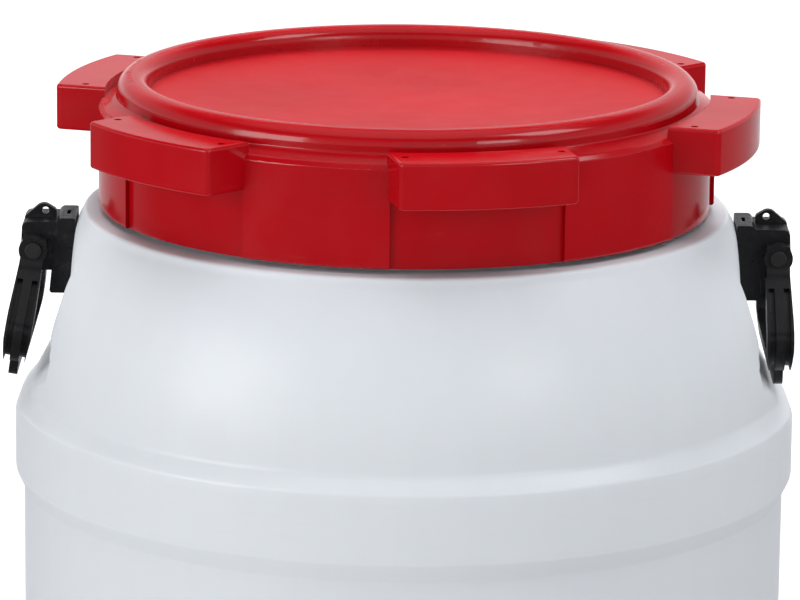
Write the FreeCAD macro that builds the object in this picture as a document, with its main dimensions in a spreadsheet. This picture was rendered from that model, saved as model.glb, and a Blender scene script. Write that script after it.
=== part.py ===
import FreeCAD, Part
import math
import os
import Sketcher
from FreeCAD import Placement, Rotation, Vector

# Wide-neck plastic drum with a screw lid and two swing handles.
# Millimetres, +Z up, origin at the centre of the base. The handles are at +X and -X.

SIZES = {
    # Drum body, from the base up. Radii are from the drum's axis, heights from its base.
    "wall": 3.2,
    "wall_radius": 195.6,
    "band_radius": 200.0,
    "band_top": 453.0,
    "band_bottom": 418.0,
    "base_band_radius": 198.5,
    "base_band_top": 60.0,
    "base_rounding": 18.0,
    "foot_radius": 172.0,
    "foot_height": 6.0,
    "shoulder_radius": 193.4,
    "shoulder_foot": 466.0,
    "shoulder_curve": 137.0,
    "shoulder_top": 548.5,
    "deck_height": 552.0,
    "deck_radius": 164.5,
    "neck_radius": 145.5,
    "lip_radius": 143.3,
    "lip_foot": 605.5,
    "mouth_radius": 138.3,
    "neck_top": 613.2,
    # Recesses for the handles.
    "pad_distance": 168.5,
    "pad_foot": 491.0,
    "sill_distance": 204.0,
    "sill_height": 444.0,
    "recess_half_width": 62.0,
    "rail_depth": 5.5,
    "rail_root": 6.0,
    "rail_face": 8.5,
    "rail_bottom": 511.0,
    "rail_top": 541.0,
    # Screw thread between the neck and the lid.
    "thread_lead": 14.0,
    "thread_half_root": 2.6,
    "thread_half_crest": 1.5,
    "neck_thread_radius": 150.3,
    "neck_thread_start": 561.0,
    "neck_thread_length": 33.0,
    "lid_thread_radius": 148.2,
    "lid_thread_length": 20.0,
    # Lid and gasket.
    "skirt_bottom": 554.5,
    "skirt_radius": 157.2,
    "skirt_wall": 3.8,
    "skirt_top": 605.0,
    "bead_foot_height": 609.3,
    "bead_radius": 139.5,
    "bead_half_width": 8.0,
    "bead_height": 612.6,
    "panel_radius": 131.8,
    "panel_height": 610.2,
    "panel_dish": 7.0,
    "panel_wall": 3.2,
    "channel_half_width": 4.8,
    "channel_top": 617.4,
    "spigot_wall": 3.0,
    "spigot_bottom": 597.5,
    "lug_tip_radius": 179.6,
    "lug_half_width": 44.6,
    "lug_corner": 3.0,
    "lug_rounding": 1.6,
    "lug_sink": 3.0,
    "lug_bottom": 588.5,
    "lug_top": 612.0,
    "lug_wall": 3.2,
    "lug_turn": 13.3,
    "lug_count": 6,
    "scallop_depth": 2.3,
    "seal_hole_radius": 1.9,
    "seal_hole_distance": 160.0,
    "seal_hole_side": 38.8,
    "gasket_inner_radius": 135.2,
    "gasket_outer_radius": 143.8,
    "gasket_bottom": 613.6,
    "gasket_top": 616.9,
    # Handles, given for the one at +X.
    "bracket_half_width": 16.0,
    "plate_top": 547.0,
    "plate_bottom": 508.0,
    "plate_top_face": 178.0,
    "plate_bottom_face": 182.0,
    "rail_clearance": 0.3,
    "block_top": 545.0,
    "block_bottom": 520.0,
    "block_face": 195.6,
    "tab_thickness": 4.0,
    "tab_top": 552.6,
    "eyelet_distance": 184.3,
    "eyelet_height": 548.6,
    "eyelet_radius": 1.8,
    "pivot_distance": 189.5,
    "pivot_height": 532.0,
    "pin_radius": 3.0,
    "pin_clearance": 0.1,
    "pin_head_radius": 4.2,
    "pin_head_length": 1.3,
    "knuckle_radius": 7.3,
    "knuckle_gap": 0.6,
    "knuckle_width": 8.4,
    "bail_half_width": 50.0,
    "bail_drop": 55.5,
    "bail_bar": 9.5,
    "bail_half_depth": 6.8,
    "bail_neck_half_depth": 5.9,
    "rib_drop": 65.0,
    "rib_half_thickness": 2.3,
    "groove_edge": 5.3,
    "groove_depth": 2.6,
    "left_tilt": 9.3,
    "right_tilt": 0.9,
    "screw_radius": 1.75,
    "screw_head_radius": 3.6,
    "screw_head_length": 2.2,
    "screw_length": 20.0,
    "screw_side": 12.0,
    "screw_height": 540.2,
}


class Size:
    """A length of the model: its value, and the expression that ties it to the sheet."""

    def __init__(self, value, text):
        self.value = value
        self.text = text

    def __add__(self, other):
        other = as_size(other)
        return Size(self.value + other.value, f"({self.text} + {other.text})")

    def __sub__(self, other):
        other = as_size(other)
        return Size(self.value - other.value, f"({self.text} - {other.text})")

    def __rsub__(self, other):
        return as_size(other) - self

    def __mul__(self, other):
        other = as_size(other)
        return Size(self.value * other.value, f"({self.text} * {other.text})")

    def __truediv__(self, other):
        other = as_size(other)
        return Size(self.value / other.value, f"({self.text} / {other.text})")

    def __neg__(self):
        return Size(-self.value, f"(0 - {self.text})")


def as_size(number):
    return number if isinstance(number, Size) else Size(float(number), f"({float(number)})")


def root(size):
    return Size(math.sqrt(size.value), f"sqrt({size.text})")


document = FreeCAD.newDocument("wide_neck_drum")
sheet = document.addObject("Spreadsheet::Sheet", "Sizes")
for row, (alias, number) in enumerate(SIZES.items(), start=1):
    sheet.set(f"A{row}", alias.replace("_", " "))
    sheet.set(f"B{row}", str(number))
    sheet.setAlias(f"B{row}", alias)
document.recompute()
s = {alias: Size(number, f"Sizes.{alias}") for alias, number in SIZES.items()}


# ---------------------------------------------------------------- making features

def bind(thing, path, size):
    """Gives a property its value and ties it to the sheet."""
    thing.setExpression(path, as_size(size).text)


def new_body(name):
    body = document.addObject("PartDesign::Body", name)
    body.Label = name
    return body


def origin_part(body, role):
    return next(feature for feature in body.Origin.OriginFeatures if feature.Role == role)


def new_sketch(body, name, plane, offset=0.0):
    """A sketch on one of the body's own origin planes, moved along the plane's normal."""
    sketch = body.newObject("Sketcher::SketchObject", name)
    sketch.AttachmentSupport = (origin_part(body, plane), [""])
    sketch.MapMode = "FlatFace"
    bind(sketch, "AttachmentOffset.Base.z", offset)
    return sketch


def fix_point(sketch, geometry, end, across, up):
    for kind, size in (("DistanceX", across), ("DistanceY", up)):
        index = sketch.addConstraint(Sketcher.Constraint(kind, -1, 1, geometry, end, size.value))
        sketch.setExpression(f"Constraints[{index}]", size.text)


def fix_radius(sketch, geometry, size):
    index = sketch.addConstraint(Sketcher.Constraint("Radius", geometry, size.value))
    sketch.setExpression(f"Constraints[{index}]", size.text)


def draw_outline(sketch, corners, arcs=None):
    """Draws a closed outline through corners, each (across, up) or (across, up, rounding).

    arcs gives the radius of each edge that is an arc, by the number of the edge's first corner:
    positive where the arc bulges to the right of its own direction, negative to the left.
    """
    arcs = arcs or {}
    corners = [tuple(as_size(number) for number in corner) for corner in corners]
    count = len(corners)
    places = [Vector(corner[0].value, corner[1].value, 0) for corner in corners]
    starts = list(places)
    stops = list(places)
    roundings = {}
    for number, corner in enumerate(corners):
        if len(corner) < 3:
            continue
        place = places[number]
        back = (places[number - 1] - place).normalize()
        ahead = (places[(number + 1) % count] - place).normalize()
        half = back.getAngle(ahead) / 2
        radius = corner[2].value
        stops[number] = place + back * (radius / math.tan(half))
        starts[number] = place + ahead * (radius / math.tan(half))
        middle = (back + ahead).normalize()
        centre = place + middle * (radius / math.sin(half))
        nearest = centre - middle * radius
        roundings[number] = Part.Arc(stops[number], nearest, starts[number])
    edges = []
    for number in range(count):
        begin = starts[number]
        end = stops[(number + 1) % count]
        if number in arcs:
            radius = as_size(arcs[number]).value
            chord = end - begin
            side = Vector(chord.y, -chord.x, 0).normalize() * math.copysign(1, radius)
            sagitta = abs(radius) - math.sqrt(radius * radius - chord.Length ** 2 / 4)
            curve = Part.Arc(begin, (begin + end) * 0.5 + side * sagitta, end)
        else:
            curve = Part.LineSegment(begin, end)
        edges.append(add_curve(sketch, curve, begin))
    for number, corner in enumerate(corners):
        before, _, before_end = edges[number - 1]
        after, after_start, _ = edges[number]
        if number in roundings:
            arc, arc_start, arc_end = add_curve(sketch, roundings[number], stops[number])
            sketch.addConstraint(Sketcher.Constraint("Tangent", before, before_end, arc, arc_start))
            sketch.addConstraint(Sketcher.Constraint("Tangent", arc, arc_end, after, after_start))
            fix_radius(sketch, arc, corner[2])
            tip = sketch.addGeometry(Part.Point(places[number]), True)
            sketch.addConstraint(Sketcher.Constraint("PointOnObject", tip, 1, before))
            sketch.addConstraint(Sketcher.Constraint("PointOnObject", tip, 1, after))
            fix_point(sketch, tip, 1, corner[0], corner[1])
        else:
            sketch.addConstraint(
                Sketcher.Constraint("Coincident", before, before_end, after, after_start))
            fix_point(sketch, after, after_start, corner[0], corner[1])
    for number, radius in arcs.items():
        radius = as_size(radius)
        fix_radius(sketch, edges[number][0], radius if radius.value > 0 else -radius)


def add_curve(sketch, curve, begin):
    """Adds a curve and tells which of its two ends is at begin."""
    if isinstance(curve, Part.Arc):
        circle = curve.toShape().Curve
        edge = curve.toShape()
        curve = Part.ArcOfCircle(
            Part.Circle(circle.Center, Vector(0, 0, 1), circle.Radius),
            *arc_angles(circle.Center, edge))
    index = sketch.addGeometry(curve)
    first = sketch.getPoint(index, 1)
    return (index, 1, 2) if first.distanceToPoint(begin) < 1e-4 else (index, 2, 1)


def arc_angles(centre, edge):
    """The arc's first and last angles, anticlockwise."""
    points = [edge.valueAt(edge.FirstParameter + (edge.LastParameter - edge.FirstParameter) * share)
              for share in (0.0, 0.5, 1.0)]
    first, middle, last = (math.atan2(point.y - centre.y, point.x - centre.x) for point in points)
    turn = 2 * math.pi
    if (middle - first) % turn > (last - first) % turn:
        first, last = last, first
    return first, first + (last - first) % turn


def draw_circle(sketch, across, up, radius):
    across, up, radius = as_size(across), as_size(up), as_size(radius)
    circle = Part.Circle(Vector(across.value, up.value, 0), Vector(0, 0, 1), radius.value)
    index = sketch.addGeometry(circle)
    fix_point(sketch, index, 3, across, up)
    fix_radius(sketch, index, radius)


def revolve(body, corners, arcs=None, name="profile"):
    """Turns an outline in the XZ plane about the body's own Z axis."""
    sketch = new_sketch(body, f"{body.Name}_{name}", "XZ_Plane")
    draw_outline(sketch, corners, arcs)
    feature = body.newObject("PartDesign::Revolution", f"{body.Name}_{name}_turned")
    feature.Profile = sketch
    feature.ReferenceAxis = (sketch, ["V_Axis"])
    feature.Angle = 360
    return feature


def extrude(body, kind, plane, length, draw, name, offset=0.0, reverse=False, both=False):
    """Pads or pockets a sketch. draw is called with the sketch and fills it."""
    sketch = new_sketch(body, f"{body.Name}_{name}", plane, offset)
    draw(sketch)
    feature = body.newObject(f"PartDesign::{kind}", f"{body.Name}_{name}_{kind.lower()}")
    feature.Profile = sketch
    feature.Type = "Length"
    bind(feature, "Length", length)
    feature.SideType = "Symmetric" if both else "One side"
    feature.Reversed = reverse
    return feature


def outline(corners, arcs=None):
    return lambda sketch: draw_outline(sketch, corners, arcs)


def circle(across, up, radius):
    return lambda sketch: draw_circle(sketch, across, up, radius)


def repeat(body, features, count, name):
    """Repeats features around Z, and makes the pattern the body's tip."""
    pattern = body.newObject("PartDesign::PolarPattern", f"{body.Name}_{name}")
    pattern.Originals = features
    pattern.Axis = (origin_part(body, "Z_Axis"), [""])
    pattern.Angle = 360
    pattern.Occurrences = count
    body.Tip = pattern
    return pattern


def round_edges(body, radius, wanted, name):
    """Rounds each edge of the body that wanted() picks."""
    document.recompute()
    base = body.Tip
    edges = [f"Edge{number}" for number, edge in enumerate(base.Shape.Edges, start=1)
             if not edge.Degenerated and wanted(edge)]
    feature = body.newObject("PartDesign::Fillet", f"{body.Name}_{name}")
    feature.Base = (base, edges)
    bind(feature, "Radius", radius)
    return feature


def combine(kind, label, base, tool):
    feature = document.addObject(f"Part::{kind}", label)
    feature.Label = label
    feature.Base = base
    feature.Tool = tool
    return feature


def thread(label, radius, crest, start, length, turn):
    """A ridge of the screw thread: its root is inside the wall at radius, its crest at crest."""
    helix = document.addObject("Part::Helix", f"{label}_helix")
    bind(helix, "Pitch", s["thread_lead"])
    bind(helix, "Height", length)
    bind(helix, "Radius", radius)
    profile = document.addObject("Sketcher::SketchObject", f"{label}_section")
    profile.Placement = Placement(Vector(0, 0, 0), Rotation(Vector(1, 0, 0), 90))
    sunk = 1.2 if crest.value > radius.value else -1.2
    draw_outline(profile, [
        (radius - sunk, -s["thread_half_root"] - 0.4),
        (crest, -s["thread_half_crest"]),
        (crest, s["thread_half_crest"]),
        (radius - sunk, s["thread_half_root"] + 0.4)])
    ridge = document.addObject("Part::Sweep", label)
    ridge.Sections = [profile]
    ridge.Spine = (helix, ["Edge1"])
    ridge.Solid = True
    ridge.Frenet = True
    ridge.Placement = Placement(Vector(0, 0, start.value), Rotation(Vector(0, 0, 1), turn))
    return ridge


# ---------------------------------------------------------------- drum

def drum_outline(inset, top_corners):
    """The drum's outline from the axis at the base to the foot of the neck, moved inwards."""
    curve = s["shoulder_curve"] - inset
    centre = s["shoulder_radius"] - s["shoulder_curve"]
    top = s["shoulder_top"] - inset * 0.8
    rise = top - s["shoulder_foot"]
    corners = [
        (0, s["foot_height"] + inset),
        (s["foot_radius"] - 3 + inset * 0.4, s["foot_height"] + inset, 3),
        (s["foot_radius"] + 1 + inset * 0.4, inset, 2),
        (s["base_band_radius"] - inset, inset, s["base_rounding"] - inset),
        (s["base_band_radius"] - inset, s["base_band_top"], 3),
        (s["wall_radius"] - inset - 0.6, s["base_band_top"] + 6, 3),
        (s["wall_radius"] - inset, s["band_bottom"] - 9, 4),
        (s["band_radius"] - inset, s["band_bottom"], 4),
        (s["band_radius"] - inset, s["band_top"], 3),
        (s["shoulder_radius"] - inset, s["band_top"] + 7.5 - inset * 0.6, 5),
        (s["shoulder_radius"] - inset, s["shoulder_foot"]),
        (centre + root(curve * curve - rise * rise), top),
    ]
    return corners + top_corners, {10: curve}


def handle_recess(inset):
    """The outline of a handle recess in the XZ plane: an upright pad above a slope to the sill."""
    slope = (s["pad_foot"] - s["sill_height"]) / (s["sill_distance"] - s["pad_distance"])
    drop = root(slope * slope + 1) * inset
    far = s["sill_distance"] + 40
    high = s["deck_height"] + 60
    return outline([
        (s["pad_distance"] - inset, high),
        (s["pad_distance"] - inset, s["pad_foot"] - drop + slope * inset, 14),
        (s["sill_distance"], s["sill_height"] - drop),
        (far, s["sill_height"] - drop),
        (far, high)])


def cut_recesses(body, inset):
    half = s["recess_half_width"] + inset
    recess = extrude(body, "Pocket", "XZ_Plane", half * 2, handle_recess(inset), "recess", both=True)
    return repeat(body, [recess], 2, "recesses")


def make_drum():
    wall = s["wall"]
    shell = new_body("drum_shell")
    corners, arcs = drum_outline(as_size(0), [
        (s["deck_radius"], s["deck_height"], 2.5),
        (s["neck_radius"], s["deck_height"], 2.5),
        (s["neck_radius"], s["lip_foot"] - 3.5),
        (s["lip_radius"], s["lip_foot"]),
        (s["lip_radius"], s["neck_top"], 1.8),
        (0, s["neck_top"])])
    revolve(shell, corners, arcs)
    cut_recesses(shell, as_size(0))
    rail = outline([
        (s["pad_distance"] - 1, -s["rail_root"]),
        (s["pad_distance"] + s["rail_depth"], -s["rail_face"]),
        (s["pad_distance"] + s["rail_depth"], s["rail_face"]),
        (s["pad_distance"] - 1, s["rail_root"])])
    pad = extrude(shell, "Pad", "XY_Plane", s["rail_top"] - s["rail_bottom"], rail, "rail",
                  offset=s["rail_bottom"])
    repeat(shell, [pad], 2, "rails")

    cavity = new_body("drum_cavity")
    corners, arcs = drum_outline(wall, [
        (s["deck_radius"] - 2, s["deck_height"] - wall, 4),
        (s["mouth_radius"], s["deck_height"] - wall, 5),
        (s["mouth_radius"], s["neck_top"] - 2),
        (s["mouth_radius"] + 3, s["neck_top"] + 1),
        (s["mouth_radius"] + 3, s["neck_top"] + 6),
        (0, s["neck_top"] + 6)])
    revolve(cavity, corners, arcs)
    cut_recesses(cavity, wall)

    ridge = thread("neck_thread", s["neck_radius"], s["neck_thread_radius"],
                   s["neck_thread_start"], s["neck_thread_length"], 0)
    threaded = combine("Fuse", "drum_with_thread", shell, ridge)
    return combine("Cut", "drum_body", threaded, cavity)


# ---------------------------------------------------------------- lid and gasket

def make_lid():
    inner = s["skirt_radius"] - s["skirt_wall"]
    channel_in = s["bead_radius"] - s["channel_half_width"]
    channel_out = s["bead_radius"] + s["channel_half_width"]
    spigot_in = channel_in - s["spigot_wall"]
    half_panel = s["panel_radius"]
    dish = s["panel_dish"]
    dish_curve = (half_panel * half_panel + dish * dish) / (dish * 2)
    under = s["panel_height"] - s["panel_wall"]
    bead_top = s["bead_height"] + s["bead_half_width"]
    bead_out = s["bead_radius"] + s["bead_half_width"]
    shell = new_body("lid_shell")
    revolve(shell, [
        (0, s["panel_height"] - dish),
        (half_panel, s["panel_height"]),
        (s["bead_radius"] - s["bead_half_width"], bead_top, 6.5),
        (bead_out, bead_top, 7.5),
        (bead_out + 0.4, s["bead_foot_height"] + 0.4, 1.2),
        (s["skirt_radius"] - 1.6, s["skirt_top"] + 1.4, 1.5),
        (s["skirt_radius"], s["skirt_top"] - 1, 1.2),
        (s["skirt_radius"], s["skirt_bottom"], 1.5),
        (inner, s["skirt_bottom"], 0.8),
        (inner, s["skirt_top"] - 4, 4),
        (channel_out, s["skirt_top"], 1.5),
        (channel_out, s["channel_top"], 1.8),
        (channel_in, s["channel_top"], 1.8),
        (channel_in, s["spigot_bottom"], 1),
        (spigot_in, s["spigot_bottom"], 1),
        (spigot_in, under - 0.5),
        (0, under - dish)], {0: dish_curve, 15: -dish_curve})
    scallop = extrude(
        shell, "Pocket", "XY_Plane", s["lug_bottom"] - s["skirt_bottom"] + 1,
        lug_outline(s["skirt_radius"] - s["scallop_depth"], s["lug_tip_radius"],
                    s["lug_half_width"] - 0.8),
        "scallop", offset=s["skirt_bottom"] - 1, reverse=True)
    repeat(shell, [scallop], int(SIZES["lug_count"]), "scallops")
    start = s["neck_thread_start"] + s["thread_lead"] / 2 - 4.5
    ridge = thread("lid_thread", inner, s["lid_thread_radius"], start, s["lid_thread_length"],
                   -4.5 / SIZES["thread_lead"] * 360)
    threaded = combine("Fuse", "lid_with_thread", shell, ridge)
    lid = combine("Fuse", "lid", threaded, make_lugs())
    lid.Placement = Placement(Vector(0, 0, 0), Rotation(Vector(0, 0, 1), -90 + SIZES["lug_turn"]))
    return lid


def make_lugs():
    """Six hollow grip lugs, held together by a thin ring inside the skirt's wall."""
    lugs = new_body("lid_lugs")
    tip = s["lug_tip_radius"]
    half = s["lug_half_width"]
    wall = s["lug_wall"]
    height = s["lug_top"] - s["lug_bottom"]
    sink = s["skirt_radius"] - s["lug_sink"]
    extrude(lugs, "Pad", "XY_Plane", height, lug_outline(sink, tip, half, s["lug_corner"]),
            "block", offset=s["lug_bottom"])
    round_edges(lugs, s["lug_rounding"], lug_edge, "rounding")
    extrude(lugs, "Pocket", "XY_Plane", height - wall,
            lug_outline(s["skirt_radius"] + 0.6, tip - wall - 1, half - wall),
            "hollow", offset=s["lug_bottom"], reverse=True)
    for word, side in (("left", -1), ("right", 1)):
        extrude(lugs, "Pocket", "XY_Plane", 9,
                circle(s["seal_hole_distance"], s["seal_hole_side"] * side, s["seal_hole_radius"]),
                f"{word}_seal_hole", offset=s["lug_top"] + 1)
    ring_top = s["skirt_top"] - 2.5
    ring_in = s["skirt_radius"] - 3.2
    revolve(lugs, [
        (ring_in, s["lug_bottom"] + 2), (ring_in + 2.2, s["lug_bottom"] + 2),
        (ring_in + 2.2, ring_top), (ring_in, ring_top)], name="ring")
    document.recompute()
    pattern = repeat(lugs, [], int(SIZES["lug_count"]), "pattern")
    pattern.TransformMode = "Whole shape"
    pattern.Refine = False
    return lugs


def lug_outline(inside, outside, half, corner=None):
    """A block about +X between two radii, with parallel sides and, if asked, rounded tip corners."""
    root_across = root(inside * inside - half * half)
    left_in = (root_across, -half)
    right_in = (root_across, half)
    if corner is None:
        tip_across = root(outside * outside - half * half)
        return outline([left_in, (tip_across, -half), (tip_across, half), right_in],
                       {1: outside, 3: -inside})
    near = outside - corner
    centre_up = half - corner
    centre_across = root(near * near - centre_up * centre_up)
    stretch = outside / near
    return outline(
        [left_in, (centre_across, -half), (centre_across * stretch, -(centre_up * stretch)),
         (centre_across * stretch, centre_up * stretch), (centre_across, half), right_in],
        {1: corner, 2: outside, 3: corner, 5: -inside})


def lug_edge(edge):
    """Picks the level edges of a lug, except the lower one inside the skirt's wall."""
    box = edge.BoundBox
    middle = edge.valueAt((edge.FirstParameter + edge.LastParameter) / 2)
    inner = math.hypot(middle.x, middle.y) < SIZES["skirt_radius"] - SIZES["lug_sink"] + 1
    return box.ZLength < 0.01 and not inner


def make_gasket():
    gasket = new_body("lid_gasket")
    revolve(gasket, [
        (s["gasket_inner_radius"], s["gasket_bottom"], 0.8),
        (s["gasket_outer_radius"], s["gasket_bottom"], 0.8),
        (s["gasket_outer_radius"], s["gasket_top"], 1.5),
        (s["gasket_inner_radius"], s["gasket_top"], 1.5)])
    return gasket


# ---------------------------------------------------------------- handles

def plate_face(height):
    """How far out the plate's outer face is at a height: it leans outwards as it goes down."""
    share = (s["plate_top"] - height) / (s["plate_top"] - s["plate_bottom"])
    return s["plate_top_face"] + (s["plate_bottom_face"] - s["plate_top_face"]) * share


def make_plate(side):
    plate = new_body(f"{side}_handle_plate")
    width = s["bracket_half_width"] * 2
    extrude(plate, "Pad", "XZ_Plane", width, outline([
        (s["pad_distance"], s["plate_bottom"], 1.5),
        (s["plate_bottom_face"], s["plate_bottom"], 1.5),
        (s["plate_top_face"], s["plate_top"], 3),
        (s["pad_distance"], s["plate_top"], 1)]), "profile", both=True)
    gap = s["rail_clearance"]
    extrude(plate, "Pocket", "XY_Plane", s["rail_top"] - s["plate_bottom"] + 1, outline([
        (s["pad_distance"] - 1, -s["rail_root"] - gap),
        (s["pad_distance"] + s["rail_depth"] + gap, -s["rail_face"] - gap),
        (s["pad_distance"] + s["rail_depth"] + gap, s["rail_face"] + gap),
        (s["pad_distance"] - 1, s["rail_root"] + gap)]),
        "groove", offset=s["plate_bottom"] - 1, reverse=True)
    slot = s["pad_distance"] + 3.2
    extrude(plate, "Pocket", "XY_Plane", 3.5, outline([
        (slot, -4.5), (slot + 1.8, -4.5), (slot + 1.8, 4.5), (slot, 4.5)]),
        "slot", offset=s["plate_top"])
    for place in (-1, 1):
        screw_hole(plate, place)
    return plate


def screw_hole(body, place):
    """A clear hole for a screw, along X, through everything outside the pad."""
    word = "front" if place < 0 else "rear"
    extrude(body, "Pocket", "YZ_Plane", 40,
            circle(s["screw_side"] * place, s["screw_height"], s["screw_radius"] + 0.1),
            f"{word}_screw_hole", offset=s["block_face"] - s["screw_length"] - 1, reverse=True)


def make_block(side):
    block = new_body(f"{side}_hinge_block")
    top = s["block_top"]
    bottom = s["block_bottom"]
    face = s["block_face"]
    extrude(block, "Pad", "XZ_Plane", s["bracket_half_width"] * 2, outline([
        (plate_face(bottom), bottom),
        (s["pivot_distance"] + 3, bottom, 3),
        (face + 0.8, s["pivot_height"] - 4, 4),
        (face, top, 3),
        (plate_face(top), top)]), "profile", both=True)
    extrude(block, "Pad", "XZ_Plane", s["tab_thickness"], outline([
        (plate_face(top) + 0.6, top - 2),
        (face - 0.6, top - 2),
        (face - 0.6, top + 0.4, 1),
        (s["eyelet_distance"] + 1.5, s["tab_top"] + 0.6, 5),
        (plate_face(top) + 0.6, top + 4, 2)]), "tab", offset=-s["tab_thickness"])
    extrude(block, "Pocket", "XZ_Plane", 20,
            circle(s["eyelet_distance"], s["eyelet_height"], s["eyelet_radius"]), "eyelet", both=True)
    extrude(block, "Pocket", "XZ_Plane", 60,
            circle(s["pivot_distance"], s["pivot_height"], s["pin_radius"]), "pin_hole", both=True)
    for place in (-1, 1):
        screw_hole(block, place)
        countersink(block, place)
    return block


def countersink(body, place):
    word = "front" if place < 0 else "rear"
    extrude(body, "Pocket", "YZ_Plane", 10,
            circle(s["screw_side"] * place, s["screw_height"], s["screw_head_radius"] + 0.1),
            f"{word}_screw_seat", offset=s["block_face"] - s["screw_head_length"], reverse=True)


def make_pin(side):
    pin = new_body(f"{side}_hinge_pin")
    reach = s["bracket_half_width"] + s["knuckle_gap"] + s["knuckle_width"] + 0.3
    head = reach + s["pin_head_length"]
    revolve(pin, [
        (0, -head),
        (s["pin_head_radius"], -head, 0.6),
        (s["pin_head_radius"], -reach),
        (s["pin_radius"], -reach),
        (s["pin_radius"], reach),
        (s["pin_head_radius"], reach),
        (s["pin_head_radius"], head, 0.6),
        (0, head)])
    return pin


def make_screws(side):
    screws = []
    for place in (-1, 1):
        word = "front" if place < 0 else "rear"
        screw = new_body(f"{side}_{word}_screw")
        tip = -s["screw_length"]
        revolve(screw, [
            (0, tip),
            (s["screw_radius"], tip + 3),
            (s["screw_radius"], -s["screw_head_length"]),
            (s["screw_head_radius"], -s["screw_head_length"] + 1),
            (s["screw_head_radius"], 0, 0.4),
            (0, 0)])
        extrude(screw, "Pocket", "XY_Plane", 1.2, outline([
            (-4, -0.5), (4, -0.5), (4, 0.5), (-4, 0.5)]), "drive_slot")
        extrude(screw, "Pocket", "XY_Plane", 1.2, outline([
            (-0.5, -2.2), (0.5, -2.2), (0.5, 2.2), (-0.5, 2.2)]), "cross_slot")
        screw.Placement = Placement(
            Vector(SIZES["block_face"], SIZES["screw_side"] * place, SIZES["screw_height"]),
            Rotation(Vector(0, 1, 0), 90))
        screws.append(screw)
    group = document.addObject("Part::Compound", f"{side}_handle_screws")
    group.Label = f"{side}_handle_screws"
    group.Links = screws
    return group


def bail_loop(inset, drop, filled):
    """The bail's outline in its own plane, hanging from the pivot at height 0."""
    top = s["knuckle_radius"]
    side_in = s["bracket_half_width"] + s["knuckle_gap"]
    side_out = side_in + s["knuckle_width"] - inset
    wide = s["bail_half_width"] - inset
    low = drop - inset
    outside = [
        (side_out, top),
        (side_out, -8, 10),
        (wide, -34 - inset * 0.4, 8),
        (wide, -low, 15 - inset),
        (-wide, -low, 15 - inset),
        (-wide, -34 - inset * 0.4, 8),
        (-side_out, -8, 10),
        (-side_out, top)]
    if filled:
        return outside
    bar = s["bail_bar"]
    wide_in = s["bail_half_width"] - bar
    low_in = drop - bar
    return outside + [
        (-side_in, top),
        (-side_in, -12, 6),
        (-wide_in, -35, 4),
        (-wide_in, -low_in, 8),
        (wide_in, -low_in, 8),
        (wide_in, -35, 4),
        (side_in, -12, 6),
        (side_in, top)]


def make_bail(side):
    """The swing handle: a loop with two grooves in its rim, a rib below and two knuckles."""
    name = f"{side}_bail"
    loop = new_body(f"{name}_loop")
    extrude(loop, "Pad", "YZ_Plane", 30, outline(bail_loop(0, s["bail_drop"], False)), "face",
            both=True)
    depth = new_body(f"{name}_depth")
    neck = s["bail_neck_half_depth"]
    deep = s["bail_half_depth"]
    low = -s["bail_drop"] - 1
    extrude(depth, "Pad", "XZ_Plane", s["bail_half_width"] * 2 + 10, outline([
        (-neck, s["knuckle_radius"] - 1), (-neck, -8, 20), (-deep, -28, 20), (-deep, -42, 20),
        (-neck + 0.6, low, 2.5), (neck - 0.6, low, 2.5),
        (deep, -42, 20), (deep, -28, 20), (neck, -8, 20), (neck, s["knuckle_radius"] - 1)]),
        "side", both=True)
    bar = combine("Common", f"{name}_bar", loop, depth)

    core = new_body(f"{name}_core")
    extrude(core, "Pad", "YZ_Plane", 40,
            outline(bail_loop(s["groove_depth"], s["bail_drop"], True)), "face", both=True)
    slab = new_body(f"{name}_slab")
    for word, place in (("inner", -1), ("outer", 1)):
        extrude(slab, "Pad", "XZ_Plane", 120, outline([
            (s["rib_half_thickness"] * place, -14), (s["groove_edge"] * place, -14),
            (s["groove_edge"] * place, -70), (s["rib_half_thickness"] * place, -70)]),
            f"{word}_groove", both=True)
    extrude(slab, "Pad", "XZ_Plane", 1, outline([(-12, -80), (12, -80), (12, -68), (-12, -68)]),
            "bridge", both=True)
    grooves = combine("Cut", f"{name}_grooves", slab, core)
    grooved = combine("Cut", f"{name}_grooved", bar, grooves)

    fittings = new_body(f"{name}_rib")
    extrude(fittings, "Pad", "YZ_Plane", s["rib_half_thickness"] * 2, outline([
        (-36, -s["bail_drop"] + 5), (36, -s["bail_drop"] + 5),
        (31, -s["rib_drop"], 8), (-31, -s["rib_drop"], 8)]), "plate", both=True)
    ribbed = combine("Fuse", f"{name}_ribbed", grooved, fittings)

    side_in = s["bracket_half_width"] + s["knuckle_gap"]
    whole = ribbed
    for word, offset in (("front", side_in), ("rear", -side_in - s["knuckle_width"])):
        knuckle = new_body(f"{name}_{word}_knuckle")
        extrude(knuckle, "Pad", "XZ_Plane", s["knuckle_width"],
                circle(0, 0, s["knuckle_radius"]), "eye", offset=offset)
        whole = combine("Fuse", f"{name}_with_{word}_knuckle", whole, knuckle)
    hole = new_body(f"{name}_pin_hole")
    extrude(hole, "Pad", "XZ_Plane", s["bail_half_width"] * 2,
            circle(0, 0, s["pin_radius"] + s["pin_clearance"]), "hole", both=True)
    return combine("Cut", name, whole, hole)


def make_handle(side, turn, tilt):
    around = Placement(Vector(0, 0, 0), Rotation(Vector(0, 0, 1), turn))
    pivot = Vector(SIZES["pivot_distance"], 0, SIZES["pivot_height"])
    pieces = [make_plate(side), make_block(side)]
    for piece in pieces:
        piece.Placement = around
    pin = make_pin(side)
    pin.Placement = around * Placement(pivot, Rotation(Vector(1, 0, 0), 90))
    screws = make_screws(side)
    screws.Placement = around
    bail = make_bail(side)
    bail.Placement = around * Placement(pivot, Rotation(Vector(0, 1, 0), -tilt))
    return pieces + [pin, screws, bail]


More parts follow.
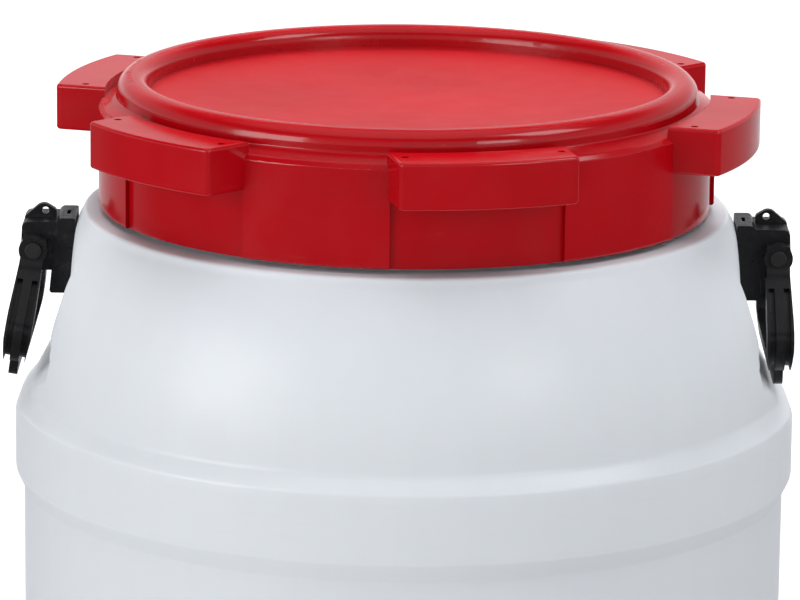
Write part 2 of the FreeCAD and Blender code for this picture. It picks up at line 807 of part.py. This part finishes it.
def check(parts):
    """Stops if any feature failed, or a part is not a sound solid."""
    document.recompute()
    failed = [item.Name for item in document.Objects if {"Invalid", "Error"} & set(item.State)]
    unsound = [part.Label for part in parts if part.Shape.isNull() or not part.Shape.isValid()]
    if failed or unsound:
        raise RuntimeError(f"failed features {failed}, unsound parts {unsound}")


parts = [make_drum(), make_lid(), make_gasket()]
parts += make_handle("right", 0, SIZES["right_tilt"])
parts += make_handle("left", 180, SIZES["left_tilt"])
check(parts)
os.makedirs("parts", exist_ok=True)
for part in parts:
    part.Shape.exportStep(f"parts/{part.Label}.step")
    print(part.Label, len(part.Shape.Solids), "solids", round(part.Shape.Volume / 1000, 2), "cm3")
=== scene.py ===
import math

import bmesh
import bpy
from mathutils import Matrix, Vector


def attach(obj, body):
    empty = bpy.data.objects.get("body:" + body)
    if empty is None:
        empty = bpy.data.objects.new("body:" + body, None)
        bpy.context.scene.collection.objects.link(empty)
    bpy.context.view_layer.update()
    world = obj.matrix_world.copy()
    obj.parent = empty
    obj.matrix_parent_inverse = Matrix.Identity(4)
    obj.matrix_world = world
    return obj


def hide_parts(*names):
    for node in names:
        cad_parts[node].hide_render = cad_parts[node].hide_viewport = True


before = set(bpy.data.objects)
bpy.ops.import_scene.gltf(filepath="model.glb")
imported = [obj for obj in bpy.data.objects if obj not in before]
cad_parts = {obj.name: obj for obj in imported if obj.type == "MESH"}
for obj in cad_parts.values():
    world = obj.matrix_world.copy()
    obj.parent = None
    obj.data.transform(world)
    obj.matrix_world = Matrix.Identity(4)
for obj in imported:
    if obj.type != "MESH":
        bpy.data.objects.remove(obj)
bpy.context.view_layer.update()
collection = bpy.context.scene.collection
MM = 0.001


# ---------------------------------------------------------------- camera, floor and light

def make_camera():
    """A long lens in front of the drum, a little above its lid, looking slightly down."""
    distance, height = 2.699, 1.143
    pitch, yaw, roll = 0.233, 0.001, 0.011
    data = bpy.data.cameras.new("camera")
    data.lens = 242.9
    data.sensor_width = 36
    data.clip_end = 60
    camera = bpy.data.objects.new("camera", data)
    tilt = Matrix.Rotation(math.pi / 2 - pitch, 4, "X") @ Matrix.Rotation(roll, 4, "Z")
    camera.matrix_world = Matrix.Translation((0, -distance, height)) @ Matrix.Rotation(yaw, 4, "Z") @ tilt
    collection.objects.link(camera)
    bpy.context.scene.camera = camera


def softbox(name, azimuth, elevation, distance, size, watts, tint=(1, 1, 1)):
    """A rectangular studio light, aimed at the drum's shoulder. Azimuth 0 is in front, 90 at +X."""
    target = Vector((0, 0, 0.5))
    a, e = math.radians(azimuth), math.radians(elevation)
    away = Vector((math.sin(a) * math.cos(e), -math.cos(a) * math.cos(e), math.sin(e)))
    data = bpy.data.lights.new(name, "AREA")
    data.shape = "RECTANGLE"
    data.size, data.size_y = size
    data.energy = watts
    data.color = tint
    lamp = bpy.data.objects.new(name, data)
    lamp.location = target + away * distance
    lamp.rotation_euler = (-away).to_track_quat("-Z", "Y").to_euler()
    collection.objects.link(lamp)
    return lamp


def make_floor():
    """A wide round pale floor, lit from within away from the drum as a light table is."""
    floor = bmesh.new()
    bmesh.ops.create_circle(floor, cap_ends=True, cap_tris=True, segments=64, radius=30.0)
    mesh = bpy.data.meshes.new("floor")
    floor.to_mesh(mesh)
    floor.free()
    piece = bpy.data.objects.new("floor", mesh)
    collection.objects.link(piece)
    paper, shader = new_material("floor_paper")
    shader.inputs["Base Color"].default_value = (0.2, 0.2, 0.2, 1)
    shader.inputs["Roughness"].default_value = 0.9
    shader.inputs["Emission Color"].default_value = (1, 1, 1, 1)
    near, far = 0.4, 2.2
    dim, full = 0.42, 1.0
    tree = paper.node_tree
    tree.links.new(span(tree, axis_distance(tree), near, far, dim, full), shader.inputs["Emission Strength"])
    mesh.materials.append(paper)
    piece.visible_glossy = False


def make_world():
    """A studio room: grey walls, a dark ceiling with a pale middle, and bright low down behind the drum."""
    world = bpy.data.worlds.new("studio")
    world.use_nodes = True
    tree = world.node_tree
    place = tree.nodes.new("ShaderNodeTexCoord")
    split = tree.nodes.new("ShaderNodeSeparateXYZ")
    tree.links.new(place.outputs["Generated"], split.inputs[0])
    horizon_to_zenith = [
        (0.0, 0.95), (0.1, 0.62), (0.22, 0.45), (0.42, 0.42), (0.62, 0.05), (0.76, 0.05), (0.88, 0.5)]
    front_to_back = [(0.3, 0.05), (0.8, 0.34), (0.94, 0.6), (0.98, 0.9)]
    upper = grey_ramp(tree, split.outputs["Z"], horizon_to_zenith)
    lower = grey_ramp(tree, split.outputs["Y"], front_to_back)
    above_horizon = span(tree, split.outputs["Z"], -0.03, 0.05)
    mixed = blend_colours(tree, above_horizon, lower, upper)
    tree.links.new(mixed, tree.nodes["Background"].inputs["Color"])
    bpy.context.scene.world = world


def grey_ramp(tree, source, stops, blue_cast=1.03):
    """A colour ramp of greys with a faint blue cast, given as (position, brightness)."""
    ramp = tree.nodes.new("ShaderNodeValToRGB")
    tree.links.new(source, ramp.inputs[0])
    steps = ramp.color_ramp.elements
    steps.remove(steps[1])
    for index, (position, grey) in enumerate(stops):
        step = steps[0] if index == 0 else steps.new(position)
        step.position = position
        step.color = (grey, grey, grey * blue_cast, 1)
    return ramp.outputs[0]


# ---------------------------------------------------------------- materials

def new_material(name):
    """A material and its shader node."""
    material = bpy.data.materials.new(name)
    material.use_nodes = True
    return material, material.node_tree.nodes["Principled BSDF"]


def add(tree, kind, links=None, **values):
    """Adds a node. Links say which output feeds each input; values are set on the other inputs."""
    node = tree.nodes.new("ShaderNode" + kind)
    for key, value in values.items():
        node.inputs[key.replace("_", " ")].default_value = value
    for key, output in (links or {}).items():
        tree.links.new(output, node.inputs[key])
    return node


def noise(tree, scale, detail=3.0, stretch=None, rough=0.5):
    """Noise in metres of the object's own space; stretch squeezes it along an axis."""
    place = add(tree, "TexCoord").outputs["Object"]
    if stretch:
        place = add(tree, "Mapping", {"Vector": place}, Scale=stretch).outputs[0]
    made = add(tree, "TexNoise", {"Vector": place}, Scale=scale, Detail=detail, Roughness=rough)
    return made.outputs["Fac"]


def span(tree, source, low, high, start=0.0, end=1.0):
    """Maps a value from low..high to start..end, clamped."""
    made = add(tree, "MapRange", {"Value": source}, From_Min=low, From_Max=high, To_Min=start, To_Max=end)
    return made.outputs[0]


def maths(tree, operation, one, two=0):
    """A sum, product or root of outputs or plain numbers."""
    made = tree.nodes.new("ShaderNodeMath")
    made.operation = operation
    for socket, value in zip(made.inputs, (one, two)):
        if isinstance(value, (int, float)):
            socket.default_value = value
        else:
            tree.links.new(value, socket)
    return made.outputs[0]


def blend_colours(tree, factor, one, two):
    """Mixes two colours, each an output or (red, green, blue)."""
    made = tree.nodes.new("ShaderNodeMix")
    made.data_type = "RGBA"
    tree.links.new(factor, made.inputs[0])
    for socket, value in ((made.inputs[6], one), (made.inputs[7], two)):
        if isinstance(value, tuple):
            socket.default_value = (*value, 1)
        else:
            tree.links.new(value, socket)
    return made.outputs[2]


def bump(tree, layers):
    """Stacks bump layers, each (height output, distance in metres), and gives the last normal."""
    normal = None
    for height, distance in layers:
        links = {"Height": height}
        if normal is not None:
            links["Normal"] = normal
        normal = add(tree, "Bump", links, Strength=1.0, Distance=distance).outputs[0]
    return normal


def axis_distance(tree):
    """How far a point is from the drum's axis, in metres."""
    split = add(tree, "SeparateXYZ", {"Vector": add(tree, "TexCoord").outputs["Object"]})
    squares = [maths(tree, "MULTIPLY", split.outputs[name], split.outputs[name]) for name in ("X", "Y")]
    return maths(tree, "SQRT", maths(tree, "ADD", *squares))


def drum_plastic():
    """Milky blow-moulded polyethylene: satin, faintly streaked, a little worn on its bands."""
    material, shader = new_material("drum_plastic")
    tree = material.node_tree
    cloud = noise(tree, 5.0, 2.0)
    streak = noise(tree, 1.0, 3.0, stretch=(70, 70, 2.5))
    tone = maths(tree, "ADD", maths(tree, "MULTIPLY", cloud, 0.75), maths(tree, "MULTIPLY", streak, 0.25))
    pale = blend_colours(tree, span(tree, tone, 0.3, 0.7), (0.655, 0.69, 0.73), (0.695, 0.73, 0.765))
    band = span(tree, axis_distance(tree), 0.1985, 0.2002)
    rub = span(tree, noise(tree, 45.0, 5.0, stretch=(1, 1, 5), rough=0.7), 0.56, 0.72)
    worn = maths(tree, "MULTIPLY", band, rub)
    colour = blend_colours(tree, maths(tree, "MULTIPLY", worn, 0.15), pale, (0.60, 0.62, 0.63))
    tree.links.new(colour, shader.inputs["Base Color"])
    satin = span(tree, noise(tree, 30.0, 4.0), 0.3, 0.7, 0.33, 0.41)
    tree.links.new(maths(tree, "ADD", satin, maths(tree, "MULTIPLY", worn, 0.15)), shader.inputs["Roughness"])
    shader.inputs["IOR"].default_value = 1.5
    shader.inputs["Subsurface Weight"].default_value = 0.25
    shader.inputs["Subsurface Radius"].default_value = (0.9, 1.0, 1.1)
    shader.inputs["Subsurface Scale"].default_value = 0.006
    waves, grain = noise(tree, 22.0, 1.0), noise(tree, 700.0, 2.0)
    relief = bump(tree, [(waves, 0.0005), (streak, 0.00004), (grain, 0.00003)])
    tree.links.new(relief, shader.inputs["Normal"])
    return material


def lid_plastic():
    """Glossy moulded red polypropylene, with faint flow marks, fine rubs and a duller top panel."""
    material, shader = new_material("lid_plastic")
    tree = material.node_tree
    flow = noise(tree, 14.0, 3.0)
    deep = blend_colours(tree, span(tree, flow, 0.3, 0.7), (0.37, 0.0008, 0.0042), (0.43, 0.0014, 0.0058))
    rub = span(tree, noise(tree, 24.0, 8.0, stretch=(1, 1, 14), rough=0.8), 0.60, 0.72)
    colour = blend_colours(tree, maths(tree, "MULTIPLY", rub, 0.12), deep, (0.62, 0.07, 0.08))
    tree.links.new(colour, shader.inputs["Base Color"])
    gloss = span(tree, noise(tree, 55.0, 4.0), 0.3, 0.7, 0.13, 0.19)
    gloss = maths(tree, "ADD", gloss, maths(tree, "MULTIPLY", rub, 0.10))
    panel = span(tree, axis_distance(tree), 0.1325, 0.1305)
    gloss = maths(tree, "ADD", gloss, maths(tree, "MULTIPLY", panel, 0.24))
    tree.links.new(gloss, shader.inputs["Roughness"])
    shader.inputs["IOR"].default_value = 1.49
    waves, grain = noise(tree, 26.0, 1.0), noise(tree, 260.0, 2.0)
    tree.links.new(bump(tree, [(waves, 0.00015), (grain, 0.00003)]), shader.inputs["Normal"])
    return material


def black_plastic(name, dark, rough_low, rough_high, grain):
    """Black plastic with a fine moulded grain and a few greyish rubs; grain is in cells a metre."""
    material, shader = new_material(name)
    tree = material.node_tree
    shader.inputs["Specular IOR Level"].default_value = 0.34
    rub = span(tree, noise(tree, 120.0, 6.0, rough=0.75), 0.56, 0.74)
    colour = blend_colours(tree, maths(tree, "MULTIPLY", rub, 0.5), dark, (0.05, 0.05, 0.052))
    tree.links.new(colour, shader.inputs["Base Color"])
    gloss = span(tree, noise(tree, 240.0, 4.0), 0.3, 0.7, rough_low, rough_high)
    tree.links.new(gloss, shader.inputs["Roughness"])
    cells = add(tree, "TexVoronoi", {"Vector": add(tree, "TexCoord").outputs["Object"]}, Scale=grain)
    waves = noise(tree, 90.0, 2.0)
    relief = bump(tree, [(waves, 0.0001), (cells.outputs["Distance"], 0.00005)])
    tree.links.new(relief, shader.inputs["Normal"])
    return material


def screw_steel():
    """Zinc-plated steel, faintly blotched and brushed."""
    material, shader = new_material("screw_steel")
    tree = material.node_tree
    patch = noise(tree, 500.0, 3.0)
    colour = blend_colours(tree, patch, (0.42, 0.43, 0.46), (0.62, 0.62, 0.60))
    tree.links.new(colour, shader.inputs["Base Color"])
    gloss = span(tree, noise(tree, 900.0, 3.0), 0.3, 0.7, 0.25, 0.45)
    tree.links.new(gloss, shader.inputs["Roughness"])
    shader.inputs["Metallic"].default_value = 1.0
    tree.links.new(bump(tree, [(noise(tree, 1500.0, 2.0), 0.00003)]), shader.inputs["Normal"])
    return material


# ---------------------------------------------------------------- mesh tools

def finish_mesh(name, geometry, material, body, sharp):
    """Makes an object of a bmesh, with its material, on its body. Edges over the sharp angle stay sharp."""
    bmesh.ops.recalc_face_normals(geometry, faces=geometry.faces)
    mesh = bpy.data.meshes.new(name)
    geometry.to_mesh(mesh)
    geometry.free()
    mesh.materials.append(material)
    for face in mesh.polygons:
        face.use_smooth = True
    mesh.set_sharp_from_angle(angle=math.radians(sharp))
    piece = bpy.data.objects.new(name, mesh)
    collection.objects.link(piece)
    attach(piece, body)
    return piece


def rounded(corners, reach):
    """A polyline through corners (across, up, rounding), with arcs, and with no run longer than reach."""
    arc_step, arc_turn = 1.05, 0.26
    points = []
    last = len(corners) - 1
    for index, corner in enumerate(corners):
        here = Vector(corner[:2])
        radius = corner[2] if len(corner) > 2 else 0
        if not radius or index in (0, last):
            points.append(here)
            continue
        before = (Vector(corners[index - 1][:2]) - here).normalized()
        after = (Vector(corners[index + 1][:2]) - here).normalized()
        half = before.angle(after) / 2
        cut = radius / math.tan(half)
        centre = here + (before + after).normalized() * (radius / math.sin(half))
        start, end = here + before * cut - centre, here + after * cut - centre
        sweep = start.angle(end)
        pieces = max(3, math.ceil(sweep * radius / arc_step), math.ceil(sweep / arc_turn))
        for number in range(pieces + 1):
            share = number / pieces
            low, high = math.sin((1 - share) * sweep), math.sin(share * sweep)
            points.append(centre + (start * low + end * high) / math.sin(sweep))
    line = [points[0]]
    for point in points[1:]:
        gap = (point - line[-1]).length
        if gap < 1e-6:
            continue
        parts = max(1, math.ceil(gap / reach))
        begin = line[-1].copy()
        line += [begin.lerp(point, part / parts) for part in range(1, parts + 1)]
    return line


def lathe(geometry, line, angles, place):
    """Revolves a polyline about Z; place(across, up, angle) gives each vertex in millimetres."""
    rows = []
    for point in line:
        if point.x < 1e-6:
            rows.append([geometry.verts.new(Vector((0, 0, point.y)) * MM)])
        else:
            rows.append([geometry.verts.new(Vector(place(point.x, point.y, angle)) * MM) for angle in angles])
    count = len(angles)
    for one, two in zip(rows, rows[1:]):
        for index in range(count):
            after = (index + 1) % count
            if len(one) == 1:
                geometry.faces.new((one[0], two[index], two[after]))
            elif len(two) == 1:
                geometry.faces.new((one[index], one[after], two[0]))
            else:
                geometry.faces.new((one[index], one[after], two[after], two[index]))


# ---------------------------------------------------------------- drum body

# All in millimetres. Across is the distance from the drum's axis and up the height above the floor.
WALL = 3.2
LOWER_BAND_RADIUS = 198.5
UPPER_BAND_RADIUS = 200
SHOULDER_RADIUS, SHOULDER_FOOT, SHOULDER_CURVE = 193.4, 466.0, 137.0
NECK_FOOT, NECK_RADIUS = 552, 145.5
LIP_RADIUS, MOUTH_RADIUS, NECK_TOP = 143.3, 138.3, 613.2
# The recess: a flat pad behind the handle, which slopes out to the sill below it, between two flanks.
PAD, PAD_FOOT = 168.5, 491.0
SILL, SILL_HEIGHT = 204.0, 444.0
RECESS_HALF_WIDTH = 60.5
RECESS_FLARE, FLARE_TOP, FLARE_HEIGHT = 7.5, 498, 14
FLANK_SLOPE = 2.2
PAD_SOFTNESS, FLANK_SOFTNESS, RIM_SOFTNESS = 5.0, 3.0, 3.2


def smooth_least(one, two, width):
    """The lesser of two lengths, blended over a width where they are close."""
    share = min(max(0.5 + (two - one) / (2 * width), 0.0), 1.0)
    return two + (one - two) * share - width * share * (1 - share)


def smooth_ramp(length, width):
    """0 below zero and the length itself above, with a soft start."""
    return -smooth_least(-length, 0.0, width)


def recess_limit(side, up, inset):
    """How far out along X the wall may stand inside a handle recess."""
    slope = (SILL - PAD) / (PAD_FOOT - SILL_HEIGHT)
    across = PAD + slope * smooth_ramp(PAD_FOOT - up, PAD_SOFTNESS)
    half = RECESS_HALF_WIDTH + RECESS_FLARE * min(max((FLARE_TOP - up) / FLARE_HEIGHT, 0.0), 1.0)
    flank = FLANK_SLOPE * smooth_ramp(abs(side) - half - inset, FLANK_SOFTNESS)
    return across + flank - inset


def wall_point(across, up, angle, inset=0.0):
    """A point of the wall: the round outline, pressed in softly where a recess is."""
    radius = across
    cosine, sine = abs(math.cos(angle)), math.sin(angle)
    beside_recess = cosine > 0.75 and up > 380 and across > PAD - 12
    if beside_recess:
        # The limit depends on the radius through the sideways place, so a few rounds settle both.
        for _ in range(5):
            limit = recess_limit(radius * sine, up, inset) / cosine
            radius = smooth_least(across, limit, RIM_SOFTNESS)
    return radius * math.cos(angle), radius * sine, up


def body_outline(inset):
    """The outline from the axis at the base to the top of the shoulder, moved inwards by the inset."""
    curve = SHOULDER_CURVE - inset
    centre = SHOULDER_RADIUS - SHOULDER_CURVE
    top = 548.5 - inset * 0.8
    outline = [
        (0, 6 + inset), (169 + inset * 0.4, 6 + inset, 3), (173 + inset * 0.4, inset, 2),
        (LOWER_BAND_RADIUS - inset, inset, 18 - inset), (LOWER_BAND_RADIUS - inset, 60, 3),
        (195 - inset, 66, 3), (195.6 - inset, 409, 4),
        (UPPER_BAND_RADIUS - inset, 418, 4), (UPPER_BAND_RADIUS - inset, 453, 3),
        (SHOULDER_RADIUS - inset, 460.5 - inset * 0.6, 5), (SHOULDER_RADIUS - inset, SHOULDER_FOOT)]
    steps = 42
    final = math.asin((top - SHOULDER_FOOT) / curve)
    arc = [(centre + curve * math.cos(final * k / steps), SHOULDER_FOOT + curve * math.sin(final * k / steps))
           for k in range(1, steps + 1)]
    return outline + arc


def make_drum(material):
    """The blow-moulded body: outer wall, neck, lip and mouth, then the inner wall back to the axis."""
    outer = body_outline(0) + [
        (164.5, NECK_FOOT, 2.5), (NECK_RADIUS, NECK_FOOT, 2.5), (NECK_RADIUS, 602), (LIP_RADIUS, 605.5),
        (LIP_RADIUS, NECK_TOP, 1.8), (MOUTH_RADIUS, NECK_TOP, 1.6), (MOUTH_RADIUS, 590)]
    inner = [(MOUTH_RADIUS, 590), (MOUTH_RADIUS, NECK_FOOT - WALL, 5), (162.5, NECK_FOOT - WALL, 3)]
    inner += list(reversed(body_outline(WALL)))
    across_recess = [math.radians(k * 0.5) for k in range(-52, 53)]
    between_recesses = [math.radians(26 + k * 1.6) for k in range(1, 80)]
    half_turn = across_recess + between_recesses
    angles = half_turn + [math.pi + angle for angle in half_turn]
    geometry = bmesh.new()
    lathe(geometry, rounded(outer, reach=5.0), angles, wall_point)
    lathe(geometry, rounded(inner, reach=8.0), angles,
          lambda across, up, angle: wall_point(across, up, angle, WALL))
    bmesh.ops.remove_doubles(geometry, verts=geometry.verts, dist=1e-6)
    add_thread(geometry)
    piece = finish_mesh("drum_shell", geometry, material, "root", sharp=50)
    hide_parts("drum_body")


def add_thread(geometry):
    """The raised thread round the neck, a little over two turns, run out to nothing at both ends."""
    start, lead = 561.0, 14.0
    turns = 33.0 / 14.0
    root_radius, crest_radius = NECK_RADIUS - 0.6, 150.3
    lower_half = [(0, -2.7), (0.55, -2.3), (0.95, -1.5), (1.0, -0.9)]
    profile = lower_half + [(out, -up) for out, up in reversed(lower_half)]
    steps = round(turns * 120)
    run_out_steps = 9
    rings = []
    for k in range(steps + 1):
        turn = turns * k / steps
        run_out = min(1.0, k / run_out_steps, (steps - k) / run_out_steps)
        height = (crest_radius - root_radius) * math.sin(run_out * math.pi / 2)
        angle = turn * 2 * math.pi
        ring = []
        for out, up in profile:
            radius = root_radius + height * out
            level = start + turn * lead + up * max(run_out, 0.3)
            point = Vector((radius * math.cos(angle), radius * math.sin(angle), level))
            ring.append(geometry.verts.new(point * MM))
        rings.append(ring)
    count = len(profile)
    for one, two in zip(rings, rings[1:]):
        for index in range(count):
            after = (index + 1) % count
            geometry.faces.new((one[index], one[after], two[after], two[index]))
    geometry.faces.new(rings[0])
    geometry.faces.new(list(reversed(rings[-1])))


# ---------------------------------------------------------------- the other pieces

def soften(node, material, body, width):
    """A copy of a piece with its flat facets joined and its sharp edges rounded."""
    edge_angle = 35
    geometry = bmesh.new()
    geometry.from_mesh(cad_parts[node].data)
    bmesh.ops.remove_doubles(geometry, verts=geometry.verts, dist=2e-6)
    bmesh.ops.dissolve_limit(geometry, angle_limit=math.radians(0.8), verts=geometry.verts,
                             edges=geometry.edges, delimit=set())
    piece = finish_mesh(node + "_shape", geometry, material, body, sharp=edge_angle)
    rounding = piece.modifiers.new("rounding", "BEVEL")
    rounding.width = width
    rounding.segments = 3
    rounding.limit_method = "ANGLE"
    rounding.angle_limit = math.radians(edge_angle)
    rounding.harden_normals = True
    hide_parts(node)


def dress(node, material):
    """Gives a piece that keeps its shape its material."""
    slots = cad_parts[node].data.materials
    slots.clear()
    slots.append(material)


# ---------------------------------------------------------------- the studio, then the drum

make_camera()
make_floor()
make_world()
bpy.context.scene.view_settings.view_transform = "Standard"
softbox("key_left", azimuth=-54, elevation=12, distance=3.0, size=(1.6, 1.5), watts=34)
softbox("key_right", azimuth=36, elevation=18, distance=3.0, size=(0.8, 0.8), watts=9)
softbox("shoulder_right", azimuth=72, elevation=50, distance=3.0, size=(1.1, 1.1), watts=17,
        tint=(0.93, 0.96, 1.0))
top_light = softbox("top", azimuth=0, elevation=82, distance=3.0, size=(2.4, 2.4), watts=37)
back_light = softbox("back", azimuth=180, elevation=42, distance=3.2, size=(2.6, 1.8), watts=165)
# These two only fill the shadows: they stay out of what the glossy faces mirror.
for light in (top_light, back_light):
    light.visible_glossy = False

drum_white = drum_plastic()
lid_red = lid_plastic()
nylon = black_plastic("handle_plastic", (0.010, 0.010, 0.011), rough_low=0.26, rough_high=0.40, grain=1400)
pin_black = black_plastic("pin_plastic", (0.016, 0.016, 0.016), rough_low=0.42, rough_high=0.55, grain=1800)
rubber = black_plastic("gasket_rubber", (0.022, 0.022, 0.022), rough_low=0.62, rough_high=0.78, grain=2200)
steel = screw_steel()

make_drum(drum_white)
dress("lid", lid_red)
dress("lid_gasket", rubber)
for side in ("right", "left"):
    for node in ("handle_plate", "hinge_block"):
        soften(f"{side}_{node}", nylon, "root", 0.0005)
    soften(f"{side}_bail", nylon, f"{side}_bail", 0.0006)
    dress(f"{side}_hinge_pin", pin_black)
    dress(f"{side}_handle_screws", steel)
